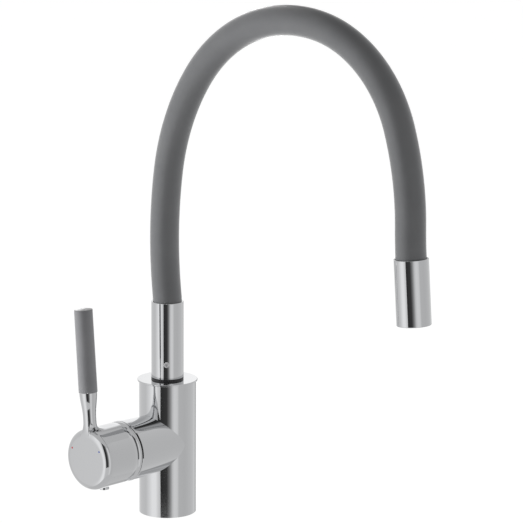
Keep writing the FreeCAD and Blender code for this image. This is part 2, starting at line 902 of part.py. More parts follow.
def make_stem_guide():
    """The turning guide that carries the pivot pin, slotted for the stem."""
    flange_radius = shell_bore - dim.loose_clearance
    blank = turned(
        "guide_blank",
        (0, guide_start),
        (flange_radius, guide_start),
        (flange_radius, guide_flange_end),
        (dim.guide_radius, guide_flange_end),
        (dim.guide_radius, guide_end),
        (0, guide_end),
    )
    slope = tangent(dim.lift_angle)
    half_stem = dim.stem_size / 2 * hypotenuse(1, slope) + dim.loose_clearance
    lower = (guide_end - pivot_depth) * slope + half_stem
    upper = (pivot_depth - guide_start) * slope + half_stem
    width = dim.stem_size + 2 * dim.loose_clearance
    slot = box("guide_slot", width, lower + upper, guide_start - 1, guide_end + 1, 0, (upper - lower) / 2)
    hole = pin_cylinder("guide_pin_hole", dim.pin_radius + dim.thread_clearance, pin_length)
    node("stem_guide", on_handle(cut("guide", blank, slot, hole)))
    pin = pin_cylinder("pin", dim.pin_radius, pin_length)
    node("pivot_pin", on_handle(grouped("pin_placed", pin)))


def make_stem():
    """The stem: a square bar, a round hub on the pin and an arm with a ball."""
    bar = box("stem_bar", dim.stem_size, dim.stem_size, pivot_depth, stem_end)
    hub = pin_cylinder("stem_hub", dim.stem_size / 2, dim.stem_size)
    arm = cylinder("stem_arm_rod", dim.stem_arm_radius, ball_depth, pivot_depth)
    ball = doc.addObject("Part::Sphere", "stem_ball")
    bind(ball, Radius=dim.stem_ball_radius, Placement__Base__z=ball_depth)
    hole = pin_cylinder("stem_pin_hole", dim.pin_radius + dim.running_clearance, pin_length)
    node("cartridge_stem", on_handle(cut("stem", fused("stem_blank", bar, hub, arm, ball), hole)))


def make_nut():
    """The retaining nut, with two crossed slots for its key."""
    bore = shell_neck_radius + dim.seat_clearance
    blank = ring("nut_blank", nut_radius, bore, shoulder_depth, nut_end)
    slot_floor = nut_end - dim.nut_slot_depth
    long_side = 2 * nut_radius + 2
    across = box("nut_slot_across", long_side, dim.nut_slot_width, slot_floor, nut_end + 1)
    upright = box("nut_slot_upright", dim.nut_slot_width, long_side, slot_floor, nut_end + 1)
    node("retaining_nut", on_valve(cut("nut", blank, across, upright)))


def make_dome_ring():
    """A slice of a ball round the lever's pivot, so the gap stays closed as the handle tips."""
    balls = []
    for name, radius in (("dome_outside", dome_radius), ("dome_inside", dome_radius - dim.dome_wall)):
        ball = doc.addObject("Part::Sphere", name)
        bind(ball, Radius=radius, Placement__Base__z=pivot_depth)
        balls.append(ball)
    shell = cut("dome_shell", *balls)
    slab = ring(
        "dome_slab", dome_radius + 1, dim.dome_hole_radius, housing_length, pivot_depth + dome_radius
    )
    slice_ = doc.addObject("Part::Common", "dome_slice")
    slice_.Base = shell
    slice_.Tool = slab
    skirt_bore = dome_skirt_radius - 2 * dim.dome_wall
    skirt = ring("dome_skirt", dome_skirt_radius, skirt_bore, skirt_start, housing_length)
    node("dome_ring", on_valve(fused("dome", slice_, skirt)))


# Handle

def lever_frame():
    """The lever's own frame: Z runs up the lever from where it crosses the valve's axis."""
    turn = FreeCAD.Rotation(Y_AXIS, -float(dim.lever_rest_turn))
    return FreeCAD.Placement(FreeCAD.Vector(0, -lever_depth, dim.valve_height), turn)


def on_lever(item):
    item.Placement = lever_frame()
    bind(item, Placement__Base__y=-lever_depth, Placement__Base__z=dim.valve_height)
    return item


def make_cap_blank():
    """The cap, whose thin rear lip swings past the housing's edge as the handle tips."""
    blank = turned(
        "cap_blank",
        (cap_lip_radius, cap_start),
        (valve_radius - dim.cap_lip_chamfer, cap_start),
        (valve_radius, cap_start + dim.cap_lip_chamfer),
        (valve_radius, cap_end),
        (0, cap_end),
        (0, boss_start),
        (dim.boss_radius, boss_start),
        (dim.boss_radius, front_inside),
        (cap_bore, front_inside),
        (cap_bore, cap_start + dim.cap_lip_length),
    )
    round_rim(blank, valve_radius, cap_end, dim.cap_front_fillet)
    return on_valve(blank)


def neck_rings():
    """The lever's neck from root to grip, as (height, radius, distance behind the lever's axis)."""
    root = float(valve_radius - dim.lever_root_sunk)
    waist = float(valve_radius + dim.waist_rise)
    rings = []
    for share in (1.0, 0.6, 0.4, 0.2):
        setback = float(dim.lever_root_flare) * share ** ROOT_FLARE_POWER
        radius = float(dim.waist_radius) + ROOT_FLARE_SPREAD * setback
        rings.append((waist + (root - waist) * share, radius, setback))
    end_radius = float(dim.grip_bottom_radius - dim.neck_end_step)
    for share in (0.0, 0.3, 0.65, 1.0):
        growth = share ** 2 * (3 - 2 * share)
        radius = float(dim.waist_radius) + (end_radius - float(dim.waist_radius)) * growth
        rings.append((waist + (float(grip_start) - waist) * share, radius, 0.0))
    return rings


def make_neck():
    """The lever's neck, a loft of rings, with the rod that carries the grip."""
    wires = []
    for height, radius, setback in neck_rings():
        centre = FreeCAD.Vector(0, setback, height)
        wires.append(Part.Wire([Part.Circle(centre, Z_AXIS, radius).toShape()]))
    neck = feature("neck_loft", Part.makeLoft(wires, True, False))
    rod_end = grip_start + dim.grip_length - dim.grip_end_wall
    rod = cylinder("lever_rod", dim.rod_radius, grip_start - 1, rod_end)
    return on_lever(fused("neck_and_rod", neck, rod))


def mark_place(side):
    """Where a mark sits on the cap's face, beside the lever."""
    angle = math.radians(dim.mark_angle)
    return side * mark_circle * math.sin(angle), mark_circle * math.cos(angle)


def make_handle():
    hole_size = dim.stem_size + 2 * dim.thread_clearance
    stem_hole = box("stem_hole", hole_size, hole_size, boss_start - 1, stem_end + dim.loose_clearance)
    outside = valve_radius + 1
    grub_hole = radial_cylinder("grub_hole", dim.grub_radius + dim.thread_clearance, outside, FLOOR)
    plug_hole = radial_cylinder("plug_hole", dim.plug_radius, outside, cap_bore - 1)
    recesses = [
        cylinder(f"mark_recess_{side + 2}", dim.mark_radius + dim.disc_film, cap_end - dim.mark_depth,
                 cap_end + 1, *mark_place(side))
        for side in PORT_SIDES
    ]
    cavity = ring("cap_cavity", cap_bore, dim.boss_radius, cap_start, front_inside)
    neck = cut("neck_trimmed", make_neck(), on_valve(grouped("cavity_room", cavity)))
    handle = fused("handle_blank", make_cap_blank(), neck)
    tools = on_handle(fused("handle_tools", stem_hole, grub_hole, plug_hole, *recesses))
    node("handle_cap", cut("handle", handle, tools))


def radial_cylinder(name, radius, outer, inner):
    """A cylinder that points down from the valve's axis at the grub screw."""
    item = doc.addObject("Part::Cylinder", name)
    item.Placement.Rotation = FreeCAD.Rotation(X_AXIS, 90)
    bind(item, Radius=radius, Height=outer - inner, Placement__Base__y=-inner, Placement__Base__z=grub_depth)
    return item


def make_grip():
    """The grip sleeve, which narrows a little towards its rounded top."""
    grip_end = grip_start + dim.grip_length
    blank = turned(
        "grip_blank",
        (0, grip_start),
        (dim.grip_bottom_radius, grip_start),
        (dim.grip_top_radius, grip_end),
        (0, grip_end),
    )
    round_rim(blank, dim.grip_bottom_radius, grip_start, dim.grip_end_round)
    round_rim(blank, dim.grip_top_radius, grip_end, dim.grip_end_round)
    bore_end = grip_end - dim.grip_end_wall + dim.thread_clearance
    bore = cylinder("grip_bore", dim.rod_radius + dim.thread_clearance, grip_start - 1, bore_end)
    node("grip_sleeve", on_lever(cut("grip", blank, bore)))


def make_marks():
    for name, side in (("hot_mark", -1), ("cold_mark", 1)):
        across, rise = mark_place(side)
        disc = cylinder(
            name + "_disc", dim.mark_radius, cap_end - dim.mark_depth, cap_end + dim.mark_proud, across, rise
        )
        node(name, on_handle(grouped(name + "_placed", disc)))


def make_grub_screw():
    tip = dim.stem_size / 2 + dim.thread_clearance
    shank = radial_cylinder("grub_shank", dim.grub_radius, tip + dim.grub_length, tip)
    key_inner = tip + dim.grub_length - dim.key_depth
    key = doc.addObject("Part::Prism", "grub_key")
    key.Polygon = 6
    key.Placement.Rotation = FreeCAD.Rotation(X_AXIS, 90)
    bind(key, Circumradius=dim.key_radius, Height=dim.key_depth + 1)
    bind(key, Placement__Base__y=-key_inner, Placement__Base__z=grub_depth)
    node("handle_grub_screw", on_handle(cut("grub_screw", shank, key)))


def make_plug():
    outer = valve_radius + dim.plug_proud
    plug = radial_cylinder("plug", dim.plug_radius - dim.thread_clearance, outer, outer - dim.plug_length)
    node("screw_plug", on_handle(grouped("plug_placed", plug)))


def write_parts():
    """Check every object and write one file for each piece."""
    doc.recompute()
    for item in doc.Objects:
        if "Invalid" in item.State or "Error" in item.State:
            raise RuntimeError(f"{item.Name} failed: {item.State}")
    os.makedirs("parts", exist_ok=True)
    for item in nodes:
        shape = item.Shape
        if shape.isNull() or not shape.isValid():
            raise RuntimeError(f"{item.Label} has no valid shape")
        shape.exportStep(f"parts/{item.Label}.step")
        box_ = shape.BoundBox
        print(f"{item.Label}: {len(shape.Solids)} solids, {shape.Volume:.0f} mm3, "
              f"z {box_.ZMin:.1f} to {box_.ZMax:.1f}")


route, nozzle_frame = hose_route()

make_body()
make_gasket()
make_top_ring()
make_spigot()
make_spigot_seals()
make_slide_ring()
make_swivel_tube()
make_socket()
make_set_screw()
make_hoses()
make_lower_fitting()
make_upper_fitting()
make_nozzle_shell()
make_aerator()
make_cartridge_base()
make_cartridge_seals()
make_discs()
make_disc_carrier()
make_cartridge_shell()
make_stem_guide()
make_stem()
make_nut()
make_dome_ring()
make_handle()
make_grip()
make_marks()
make_grub_screw()
make_plug()
write_parts()
print(f"pivot {float(pivot_depth):.2f} behind, nozzle mouth {nozzle_frame.Base}, pieces {len(nodes)}")
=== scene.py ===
"""Kitchen mixer tap with a side lever and a bendable hose spout, in studio light."""

import json
import math

import bpy
from mathutils import Matrix, Vector
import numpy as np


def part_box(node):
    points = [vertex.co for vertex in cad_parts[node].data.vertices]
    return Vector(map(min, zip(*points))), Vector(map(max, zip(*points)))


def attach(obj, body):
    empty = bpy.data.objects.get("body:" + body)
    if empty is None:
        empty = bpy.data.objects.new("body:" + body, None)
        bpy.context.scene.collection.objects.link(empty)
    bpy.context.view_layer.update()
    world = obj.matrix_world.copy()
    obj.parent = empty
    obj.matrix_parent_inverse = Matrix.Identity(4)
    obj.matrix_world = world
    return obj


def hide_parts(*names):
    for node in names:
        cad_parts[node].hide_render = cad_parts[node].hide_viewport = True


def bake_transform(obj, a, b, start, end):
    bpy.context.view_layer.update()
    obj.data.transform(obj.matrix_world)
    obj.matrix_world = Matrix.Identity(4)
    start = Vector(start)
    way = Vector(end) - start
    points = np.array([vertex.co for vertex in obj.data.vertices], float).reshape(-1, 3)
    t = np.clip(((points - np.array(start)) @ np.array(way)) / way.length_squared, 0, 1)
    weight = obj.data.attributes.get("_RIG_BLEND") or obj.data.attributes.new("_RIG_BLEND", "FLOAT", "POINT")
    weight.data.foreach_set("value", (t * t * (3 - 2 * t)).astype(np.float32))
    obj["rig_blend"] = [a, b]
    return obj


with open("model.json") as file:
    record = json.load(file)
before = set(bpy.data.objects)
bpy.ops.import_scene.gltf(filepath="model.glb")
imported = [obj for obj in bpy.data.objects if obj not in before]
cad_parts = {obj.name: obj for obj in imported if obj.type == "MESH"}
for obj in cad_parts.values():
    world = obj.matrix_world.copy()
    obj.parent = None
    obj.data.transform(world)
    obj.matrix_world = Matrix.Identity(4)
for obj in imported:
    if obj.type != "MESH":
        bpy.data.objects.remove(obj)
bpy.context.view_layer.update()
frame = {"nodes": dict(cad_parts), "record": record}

MM = 0.001

# The hose: straight in the tube, seven bends (radius in mm, turn in degrees), straight in the nozzle
TUBE_RIM = Vector((0, 0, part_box("swivel_tube")[1].z))
BENDS = (
    (45, -7.06), (378.4, 16.02), (186.3, 27.65), (135.8, 63), (108.4, 61.53), (238, 18.33), (363.1, -3.86),
)
HOSE_SUNK = 9 * MM
HOSE_SUNK_STEPS = 3
HOSE_SIDES = 96
HOSE_STEP = 3 * MM
HOSE_LEAST_STEPS = 2
HOSE_RADIUS = 12.1 * MM
CORE_RADIUS = 9.55 * MM
WATER_HOSE_RADIUS = 7.6 * MM

# The cap, with depths measured along the valve's axis from the tap's own axis
VALVE_HEIGHT = 61.95 * MM
CAP_SIDES = 192
CAP_RADIUS = 25.5 * MM
CAP_REAR = 54.4 * MM
CAP_FACE = 94.0 * MM
CAP_WALL = 3.7 * MM
CAP_FACE_WALL = 9.3 * MM
CAP_SIDE_STEPS = 8
CAP_FILLET = 6.0 * MM
CAP_FILLET_STEPS = 16
CAP_FACE_EDGE = 0.4 * MM

# The cap's open rear end: a widened mouth, a thin lip, a rounded bead and the groove in front of it
CAP_MOUTH_DEPTH = 2.7 * MM
CAP_MOUTH_WALL = 1.0 * MM
CAP_LIP = 0.2 * MM
CAP_LIP_SHARE = 0.3
CAP_BEAD_ROUND = 4.5 * MM
CAP_BEAD_TURN = math.radians(68)
CAP_BEAD_STEPS = 12
CAP_BEAD_GAP = 0.9 * MM
CAP_GROOVE_EDGE = 0.2 * MM
CAP_GROOVE_CORNER = 0.06 * MM

# The lever, with rises measured up the lever from the valve's axis
LEVER_DEPTH = 87.4 * MM
LEVER_TURN = math.radians(4.3)
ROOT_SIDES = 96
ROOT_RADIUS = 10.0 * MM
ROOT_TILT = math.radians(24)
ROOT_BEHIND = 4.1 * MM
ROOT_RISE = 21.9 * MM
ROOT_BAND_GROWTH = 1.08
ROOT_LIFT = 0.01 * MM
ROOT_CUTS = 20
WAIST_RADIUS = 5.45 * MM
WAIST_START = 32.0 * MM
WAIST_END = 35.85 * MM
WAIST_STEPS = 4
NECK_STEPS = 16
NECK_SHOULDER = 0.45 * MM
GRIP_SIDES = 128
GRIP_START = 56.15 * MM
GRIP_LENGTH = 68.9 * MM
GRIP_STEPS = 12
GRIP_BOTTOM_RADIUS = 7.8 * MM
GRIP_TOP_RADIUS = 7.65 * MM
GRIP_EDGE = 0.35 * MM

# How meshes are joined, rounded and shaded
MERGE_DISTANCE = 0.001 * MM
ROUND_SEGMENTS = 3
ROUND_ANGLE = math.radians(35)
SMOOTH_ANGLE = math.radians(40)
ROOT_SMOOTH_ANGLE = math.radians(60)


# Modelling by hand, in small steps

def pick(*pieces):
    """Select these pieces alone, with the last one active."""
    bpy.ops.object.select_all(action="DESELECT")
    for piece in pieces:
        piece.select_set(True)
        bpy.context.view_layer.objects.active = piece


def start_ring(name, radius, height, sides):
    """A new piece that is one open ring, selected in edit mode."""
    pick()
    bpy.ops.mesh.primitive_circle_add(vertices=sides, radius=radius, location=(0, 0, height))
    piece = bpy.context.object
    piece.name = name
    piece.data.name = name
    bpy.ops.object.transform_apply(location=True, rotation=True, scale=True)
    bpy.ops.object.mode_set(mode="EDIT")
    bpy.ops.mesh.select_all(action="SELECT")
    return piece


def extrude(step):
    bpy.ops.mesh.extrude_region_move(TRANSFORM_OT_translate={"value": step})


def extrude_rings(rings):
    """Extrude the selected ring through the rest of a list of (radius, height) rings."""
    for (radius, height), (next_radius, next_height) in zip(rings, rings[1:]):
        extrude((0, 0, next_height - height))
        scale = next_radius / radius
        bpy.ops.transform.resize(value=(scale, scale, 1), center_override=(0, 0, next_height))


def close_ends():
    bpy.ops.mesh.select_all(action="SELECT")
    bpy.ops.mesh.remove_doubles(threshold=MERGE_DISTANCE)
    bpy.ops.mesh.fill_holes(sides=0)
    bpy.ops.mesh.normals_make_consistent(inside=False)
    bpy.ops.object.mode_set(mode="OBJECT")


def apply_modifiers(piece):
    bpy.context.view_layer.objects.active = piece
    for modifier in list(piece.modifiers):
        bpy.ops.object.modifier_apply(modifier=modifier.name)


def round_edges(piece, width):
    """Round every sharp edge of a piece."""
    bevel = piece.modifiers.new("Rounded edges", "BEVEL")
    bevel.width = width
    bevel.segments = ROUND_SEGMENTS
    bevel.limit_method = "ANGLE"
    bevel.angle_limit = ROUND_ANGLE
    apply_modifiers(piece)


def wrap_onto(piece, target, offset):
    """Lay a piece's points on the nearest surface of another."""
    wrap = piece.modifiers.new("On the surface", "SHRINKWRAP")
    wrap.target = target
    wrap.wrap_method = "NEAREST_SURFACEPOINT"
    wrap.offset = offset
    apply_modifiers(piece)


def smooth(piece, angle=SMOOTH_ANGLE):
    pick(piece)
    bpy.ops.object.shade_smooth_by_angle(angle=angle)


def place(piece, matrix):
    """Move a piece that was modelled upright to its place, with its object left at the origin."""
    pick(piece)
    piece.matrix_world = matrix
    bpy.ops.object.transform_apply(location=True, rotation=True, scale=True)


def turned(name, rings, sides, edge=0.0):
    """A closed turned piece from a list of (radius, height) rings."""
    piece = start_ring(name, *rings[0], sides)
    extrude_rings(rings)
    close_ends()
    if edge:
        round_edges(piece, edge)
    smooth(piece)
    return piece


def straight_rings(radius, start, end, steps):
    """Rings of one radius from one height to another."""
    return [(radius, start + (end - start) * step / steps) for step in range(steps + 1)]


def curved_rings(radius, start, rounding, turn, steps):
    """Rings that rise from a radius and a height and curve inwards by a turn."""
    rings = []
    for step in range(steps + 1):
        angle = turn * step / steps
        rings.append((radius - rounding * (1 - math.cos(angle)), start + rounding * math.sin(angle)))
    return rings


# Materials

class Finish:
    """A material's node tree, with its shader and a texture space in the object's own coordinates."""

    # The middle range of a noise texture's values
    NOISE_LOW = 0.3
    NOISE_HIGH = 0.7

    def __init__(self, name, colour, roughness, metallic=0.0):
        self.material = bpy.data.materials.new(name)
        self.material.use_nodes = True
        self.nodes = self.material.node_tree.nodes
        self.links = self.material.node_tree.links
        self.shader = self.nodes["Principled BSDF"]
        self.shader.inputs["Base Color"].default_value = (*colour, 1)
        self.shader.inputs["Roughness"].default_value = roughness
        self.shader.inputs["Metallic"].default_value = metallic
        self.space = self.nodes.new("ShaderNodeTexCoord").outputs["Object"]

    def noise(self, scale, detail):
        texture = self.nodes.new("ShaderNodeTexNoise")
        texture.inputs["Scale"].default_value = scale
        texture.inputs["Detail"].default_value = detail
        self.links.new(self.space, texture.inputs["Vector"])
        return texture.outputs["Fac"]

    def vary_colour(self, value, first, second):
        ramp = self.nodes.new("ShaderNodeValToRGB")
        ramp.color_ramp.elements[0].position = self.NOISE_LOW
        ramp.color_ramp.elements[0].color = (*first, 1)
        ramp.color_ramp.elements[1].position = self.NOISE_HIGH
        ramp.color_ramp.elements[1].color = (*second, 1)
        self.links.new(value, ramp.inputs["Fac"])
        self.links.new(ramp.outputs["Color"], self.shader.inputs["Base Color"])

    def vary_roughness(self, value, low, high):
        spread = self.nodes.new("ShaderNodeMapRange")
        spread.inputs["From Min"].default_value = self.NOISE_LOW
        spread.inputs["From Max"].default_value = self.NOISE_HIGH
        spread.inputs["To Min"].default_value = low
        spread.inputs["To Max"].default_value = high
        self.links.new(value, spread.inputs["Value"])
        self.links.new(spread.outputs["Result"], self.shader.inputs["Roughness"])

    def bump(self, value, depth):
        node = self.nodes.new("ShaderNodeBump")
        node.inputs["Strength"].default_value = 1.0
        node.inputs["Distance"].default_value = depth
        self.links.new(value, node.inputs["Height"])
        self.links.new(node.outputs["Normal"], self.shader.inputs["Normal"])

    def add_sheen(self):
        """The pale haze that matt silicone and rubber show at their edges."""
        self.shader.inputs["Sheen Weight"].default_value = 1.0
        self.shader.inputs["Sheen Roughness"].default_value = 0.3


def chrome_plate():
    finish = Finish("Chrome plate", (0.57, 0.575, 0.585), 0.05, metallic=1.0)
    finish.vary_roughness(finish.noise(55, detail=4), 0.035, 0.075)
    finish.bump(finish.noise(160, detail=1), 0.004 * MM)
    return finish.material


def silicone():
    """Matt grey silicone with a fine moulded grain."""
    finish = Finish("Grey silicone", (0.118, 0.120, 0.124), 0.5)
    finish.add_sheen()
    finish.vary_colour(finish.noise(38, detail=5), (0.098, 0.100, 0.104), (0.112, 0.114, 0.118))
    finish.vary_roughness(finish.noise(300, detail=3), 0.42, 0.52)
    finish.bump(finish.noise(2600, detail=3), 0.03 * MM)
    return finish.material


def grip_rubber():
    finish = Finish("Grey grip rubber", (0.135, 0.136, 0.142), 0.5)
    finish.add_sheen()
    finish.vary_colour(finish.noise(60, detail=5), (0.148, 0.149, 0.156), (0.165, 0.166, 0.173))
    finish.vary_roughness(finish.noise(350, detail=3), 0.41, 0.51)
    finish.bump(finish.noise(3000, detail=3), 0.03 * MM)
    return finish.material


def machined_brass():
    finish = Finish("Machined brass", (0.60, 0.44, 0.20), 0.3, metallic=1.0)
    finish.vary_colour(finish.noise(90, detail=4), (0.54, 0.39, 0.17), (0.66, 0.49, 0.24))
    finish.vary_roughness(finish.noise(220, detail=3), 0.22, 0.42)
    return finish.material


def seal_rubber():
    finish = Finish("Black seal rubber", (0.018, 0.018, 0.019), 0.5)
    finish.vary_roughness(finish.noise(400, detail=3), 0.4, 0.6)
    finish.bump(finish.noise(1800, detail=2), 0.02 * MM)
    return finish.material


def moulded_plastic(name, colour, roughness=0.42):
    """Moulded plastic whose colour and gloss drift a little."""
    finish = Finish(name, colour, roughness)
    darker = tuple(part * 0.93 for part in colour)
    finish.vary_colour(finish.noise(120, detail=4), darker, colour)
    finish.vary_roughness(finish.noise(260, detail=2), roughness * 0.85, roughness * 1.15)
    finish.bump(finish.noise(1400, detail=2), 0.01 * MM)
    return finish.material


def lapped_ceramic():
    finish = Finish("Lapped ceramic", (0.86, 0.85, 0.80), 0.16)
    finish.vary_colour(finish.noise(800, detail=2), (0.82, 0.81, 0.76), (0.88, 0.87, 0.82))
    finish.vary_roughness(finish.noise(500, detail=2), 0.12, 0.22)
    return finish.material


def plain_steel():
    finish = Finish("Plain steel", (0.78, 0.78, 0.79), 0.5, metallic=1.0)
    finish.vary_roughness(finish.noise(240, detail=4), 0.42, 0.58)
    finish.bump(finish.noise(700, detail=2), 0.01 * MM)
    return finish.material


def mark_paint(name, colour):
    finish = Finish(name, colour, 0.25)
    finish.vary_roughness(finish.noise(900, detail=2), 0.2, 0.32)
    return finish.material


FINISHES = {
    "chrome": chrome_plate(),
    "silicone_grey": silicone(),
    "grip_grey": grip_rubber(),
    "brass": machined_brass(),
    "rubber_black": seal_rubber(),
    "slide_plastic": moulded_plastic("Black slide ring", (0.022, 0.022, 0.024), 0.38),
    "cartridge_plastic": moulded_plastic("Cartridge plastic", (0.09, 0.10, 0.12)),
    "acetal_white": moulded_plastic("White acetal", (0.78, 0.79, 0.77), 0.35),
    "ceramic": lapped_ceramic(),
    "steel": plain_steel(),
    "inner_hose_plastic": moulded_plastic("Inner hose plastic", (0.68, 0.71, 0.73), 0.3),
    "red_mark": mark_paint("Hot mark paint", (0.26, 0.012, 0.02)),
    "blue_mark": mark_paint("Cold mark paint", (0.012, 0.035, 0.2)),
}
FINISHES["handle_chrome"] = FINISHES["chrome"]


def paint(piece, slot):
    piece.data.materials.clear()
    piece.data.materials.append(FINISHES[slot])


def finish_piece(piece, slot, node):
    """Give a new piece its finish, and hide the node that it stands for."""
    paint(piece, slot)
    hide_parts(node)


# Hose

def follow_bends():
    """Each bend's centre, turn and steps, then the nozzle's mouth and the hose's heading there."""
    bends = []
    point = TUBE_RIM
    heading = 0.0
    for radius_mm, degrees in BENDS:
        radius = radius_mm * MM
        turn = math.radians(degrees)
        side = math.copysign(1, turn)
        centre = point + Vector((math.cos(heading), 0, -math.sin(heading))) * radius * side
        steps = max(HOSE_LEAST_STEPS, round(radius * abs(turn) / HOSE_STEP))
        bends.append((centre, turn, steps))
        point = centre + Matrix.Rotation(turn, 3, "Y") @ (point - centre)
        heading += turn
    return bends, point, heading


def hose_layer(name, radius, bends, heading):
    """One layer of the hose: a ring spun round each bend in turn."""
    piece = start_ring(name, radius, TUBE_RIM.z - HOSE_SUNK, HOSE_SIDES)
    for step in range(HOSE_SUNK_STEPS):
        extrude((0, 0, HOSE_SUNK / HOSE_SUNK_STEPS))
    for centre, turn, steps in bends:
        bpy.ops.mesh.spin(steps=steps, angle=-turn, center=centre, axis=(0, 1, 0))
    forward = Vector((math.sin(heading), 0, math.cos(heading)))
    for step in range(HOSE_SUNK_STEPS):
        extrude(forward * HOSE_SUNK / HOSE_SUNK_STEPS)
    close_ends()
    smooth(piece)
    return piece


def make_hose():
    """The hose's three layers, which bend between the tube and the nozzle."""
    layers = (
        ("hose_outer", HOSE_RADIUS, "silicone_grey", "silicone_hose"),
        ("hose_core", CORE_RADIUS, "steel", "gooseneck_core"),
        ("hose_inner", WATER_HOSE_RADIUS, "inner_hose_plastic", "inner_hose"),
    )
    bends, mouth, heading = follow_bends()
    for name, radius, slot, node in layers:
        piece = hose_layer(name, radius, bends, heading)
        finish_piece(piece, slot, node)
        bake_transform(piece, "spout", "outlet", start=(0.02, 0, mouth.z), end=(0.24, 0, mouth.z))


# Handle

def on_valve():
    """The valve's frame: Z points out of the cap and Y stays up."""
    return Matrix.Translation((0, 0, VALVE_HEIGHT)) @ Matrix.Rotation(math.radians(90), 4, "X")


def on_lever():
    """The lever's frame: Z runs up the lever."""
    return Matrix.Translation((0, -LEVER_DEPTH, VALVE_HEIGHT)) @ Matrix.Rotation(-LEVER_TURN, 4, "Y")


def make_cap():
    """The cap: a turned shell with a large round at its front and a rounded bead at its rear."""
    inner = CAP_RADIUS - CAP_WALL
    rings = [
        (inner, CAP_FACE - CAP_FACE_WALL),
        (inner, CAP_REAR + CAP_MOUTH_DEPTH),
        (CAP_RADIUS - CAP_MOUTH_WALL, CAP_REAR),
        (CAP_RADIUS - CAP_LIP, CAP_REAR),
        (CAP_RADIUS - CAP_LIP_SHARE * CAP_LIP, CAP_REAR + CAP_LIP_SHARE * CAP_LIP),
    ]
    rings += curved_rings(CAP_RADIUS, CAP_REAR + CAP_LIP, CAP_BEAD_ROUND, CAP_BEAD_TURN, CAP_BEAD_STEPS)
    groove_radius, groove_start = rings[-1]
    groove_end = groove_start + CAP_BEAD_GAP
    rings += [
        (groove_radius, groove_end),
        (CAP_RADIUS - CAP_GROOVE_EDGE, groove_end),
        (CAP_RADIUS - CAP_GROOVE_CORNER, groove_end + CAP_GROOVE_CORNER),
    ]
    side_end = CAP_FACE - CAP_FILLET
    rings += straight_rings(CAP_RADIUS, groove_end + CAP_GROOVE_EDGE, side_end, CAP_SIDE_STEPS)
    rings += curved_rings(CAP_RADIUS, side_end, CAP_FILLET, math.pi / 2, CAP_FILLET_STEPS)[1:]
    rings.append((CAP_RADIUS - CAP_FILLET - CAP_FACE_EDGE, CAP_FACE))
    cap = turned("handle", rings, CAP_SIDES)
    place(cap, on_valve())
    return cap


def make_root_band(cap):
    """A narrow band round the lever's root that lies on the cap. Its inner ring starts the bridge."""
    band = start_ring("lever_root", ROOT_RADIUS, 0, ROOT_SIDES)
    bpy.ops.object.vertex_group_assign_new()
    extrude((0, 0, 0))
    bpy.ops.transform.resize(value=(ROOT_BAND_GROWTH, ROOT_BAND_GROWTH, 1), center_override=(0, 0, 0))
    bpy.ops.object.vertex_group_remove_from()
    bpy.ops.object.mode_set(mode="OBJECT")
    band.vertex_groups[0].name = "bridge"
    at_root = Matrix.Translation((0, ROOT_BEHIND, ROOT_RISE)) @ Matrix.Rotation(ROOT_TILT, 4, "X")
    place(band, on_lever() @ at_root)
    wrap_onto(band, cap, ROOT_LIFT)
    return band


def neck_rings():
    """A straight waist, then a smooth flare up to the grip."""
    rings = straight_rings(WAIST_RADIUS, WAIST_START, WAIST_END, WAIST_STEPS)[:-1]
    flare = GRIP_BOTTOM_RADIUS - NECK_SHOULDER - WAIST_RADIUS
    for step in range(NECK_STEPS + 1):
        share = step / NECK_STEPS
        eased = share ** 2 * (3 - 2 * share)
        rings.append((WAIST_RADIUS + flare * eased, WAIST_END + (GRIP_START - WAIST_END) * share))
    return rings


def make_neck():
    """The lever's neck from above its root to the grip. Its lowest ring ends the bridge."""
    rings = neck_rings()
    neck = start_ring("lever_neck", *rings[0], ROOT_SIDES)
    bpy.ops.object.vertex_group_assign_new()
    extrude_rings(rings[:2])
    bpy.ops.object.vertex_group_remove_from()
    extrude_rings(rings[1:])
    bpy.ops.mesh.edge_face_add()
    bpy.ops.object.mode_set(mode="OBJECT")
    neck.vertex_groups[0].name = "bridge"
    place(neck, on_lever())
    return neck


def make_handle():
    """The cap and the lever's neck as one casting, with a smooth root between them."""
    cap = make_cap()
    band = make_root_band(cap)
    neck = make_neck()
    pick(band, neck)
    bpy.ops.object.join()
    bpy.ops.object.mode_set(mode="EDIT")
    bpy.ops.mesh.select_all(action="DESELECT")
    neck.vertex_groups.active_index = neck.vertex_groups["bridge"].index
    bpy.ops.object.vertex_group_select()
    bpy.ops.mesh.bridge_edge_loops(number_cuts=ROOT_CUTS, interpolation="SURFACE", smoothness=1.0)
    bpy.ops.mesh.select_all(action="SELECT")
    bpy.ops.mesh.normals_make_consistent(inside=False)
    bpy.ops.object.mode_set(mode="OBJECT")
    smooth(neck, ROOT_SMOOTH_ANGLE)
    pick(neck, cap)
    bpy.ops.object.join()
    finish_piece(cap, "handle_chrome", "handle_cap")
    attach(cap, "handle")


def make_grip():
    """The grip: a long sleeve that is a little narrower at its top."""
    rings = []
    for step in range(GRIP_STEPS + 1):
        share = step / GRIP_STEPS
        rings.append((
            GRIP_BOTTOM_RADIUS + (GRIP_TOP_RADIUS - GRIP_BOTTOM_RADIUS) * share,
            GRIP_START + GRIP_LENGTH * share,
        ))
    grip = turned("grip", rings, GRIP_SIDES, GRIP_EDGE)
    place(grip, on_lever())
    finish_piece(grip, "grip_grey", "grip_sleeve")
    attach(grip, "handle")


# Studio

# The camera's place, its turns from looking straight down, and its direction as seen from the tap
CAMERA_PLACE = (1.72502, -1.71627, 0.72440)
CAMERA_AZIMUTH = math.radians(46.7)
CAMERA_TURN = math.radians(43.30)
CAMERA_TIP = math.radians(78.18)
CAMERA_ROLL = math.radians(0.34)
CAMERA_LENS = 205.5
CAMERA_SENSOR = 36
CAMERA_REACH = 50

